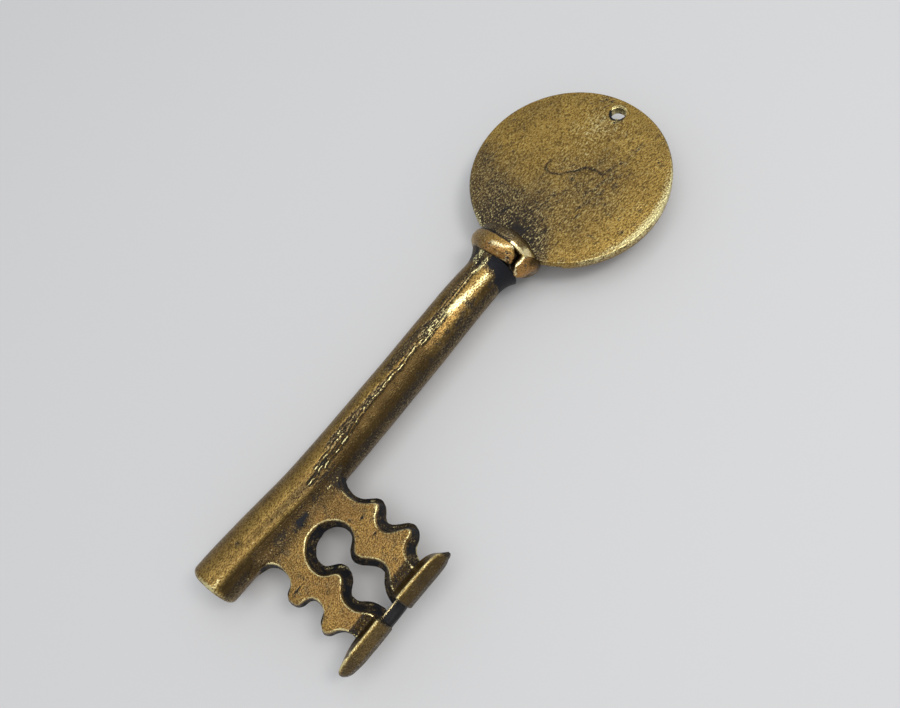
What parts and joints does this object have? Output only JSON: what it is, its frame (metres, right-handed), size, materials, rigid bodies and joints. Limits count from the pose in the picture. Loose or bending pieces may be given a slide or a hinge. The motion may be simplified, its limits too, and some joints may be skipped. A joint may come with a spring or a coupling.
{
  "type": "decorative key",
  "caption": "Large ornamental brass key: plain round disc bow with a hanging hole, split collar at the neck, round shank and a pierced, toothed bit ending in ridged rails.",
  "frame": {"origin": "centre of the whole key in plan, at the level of its lowest point, so it lies on Z = 0", "axes": "+X along the shank from the tip to the bow, -Y the way the bit points, +Z out of the pictured face"},
  "size_m": [0.1318, 0.0531, 0.0158],
  "materials": {
    "antique_brass": "cast brass, antiqued: rubbed gold-brown high spots, near-black patina in the pits and hollows",
    "copper_brass": "cast brass, antiqued, redder and rougher on its lower faces, rubbed bright on its crest",
    "dark_brass": "cast brass under a dark brown patina, hardly rubbed",
    "rubbed_brass": "cast brass, antiqued, rubbed bright along the ridges"
  },
  "bodies": {
    "root": {"shank": "antique_brass", "collar_ring": "copper_brass", "neck_saddle": "dark_brass", "bow_disc": "antique_brass", "bit_plate": "antique_brass", "rail_tip_side": "rubbed_brass", "rail_bow_side": "rubbed_brass", "rail_bridge": "dark_brass"}
  },
  "joints": []
}
